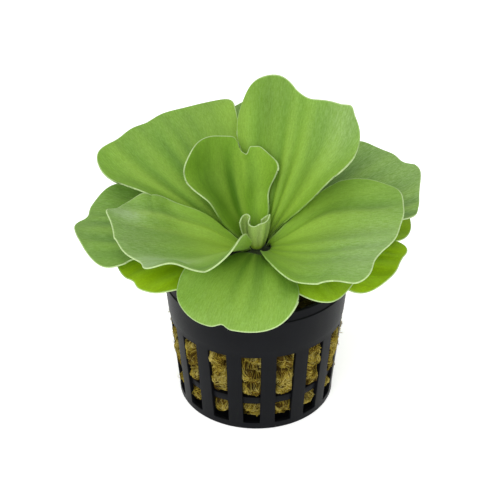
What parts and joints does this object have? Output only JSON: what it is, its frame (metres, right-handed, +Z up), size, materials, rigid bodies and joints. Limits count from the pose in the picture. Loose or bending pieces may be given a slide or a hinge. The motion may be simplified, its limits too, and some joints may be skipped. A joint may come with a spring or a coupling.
{
  "type": "water lettuce",
  "caption": "Potted aquarium plant: a rosette of velvety fan-shaped leaves growing out of a slotted net pot packed with rock wool.",
  "frame": {"origin": "centre of the pot's flat base", "axes": "+Z up out of the pot, -Y towards the front, where the broad front leaf hangs over the lip"},
  "size_m": [0.1026, 0.0889, 0.0937],
  "materials": {
    "pot_plastic": "satin",
    "rock_wool": "matte",
    "crown_green": "matte",
    "leaf_green": "satin",
    "leaf_dark_green": "satin",
    "leaf_yellow_green": "satin",
    "leaf_pale_green": "satin"
  },
  "bodies": {
    "root": {"pot": "pot_plastic", "rock_wool": "rock_wool", "crown": "crown_green", "leaf_young": "leaf_pale_green", "leaf_heart": "leaf_green", "leaf_tall": "leaf_green", "leaf_back_left": "leaf_green", "leaf_back_middle": "leaf_dark_green", "leaf_back_right": "leaf_dark_green", "leaf_left": "leaf_green", "leaf_far_left": "leaf_dark_green", "leaf_low_left": "leaf_yellow_green", "leaf_right": "leaf_green", "leaf_low_right": "leaf_yellow_green", "leaf_low_right_front": "leaf_yellow_green", "leaf_low_front": "leaf_yellow_green", "leaf_front": "leaf_green", "leaf_rear_right": "leaf_dark_green", "leaf_rear_left": "leaf_dark_green"}
  },
  "joints": []
}
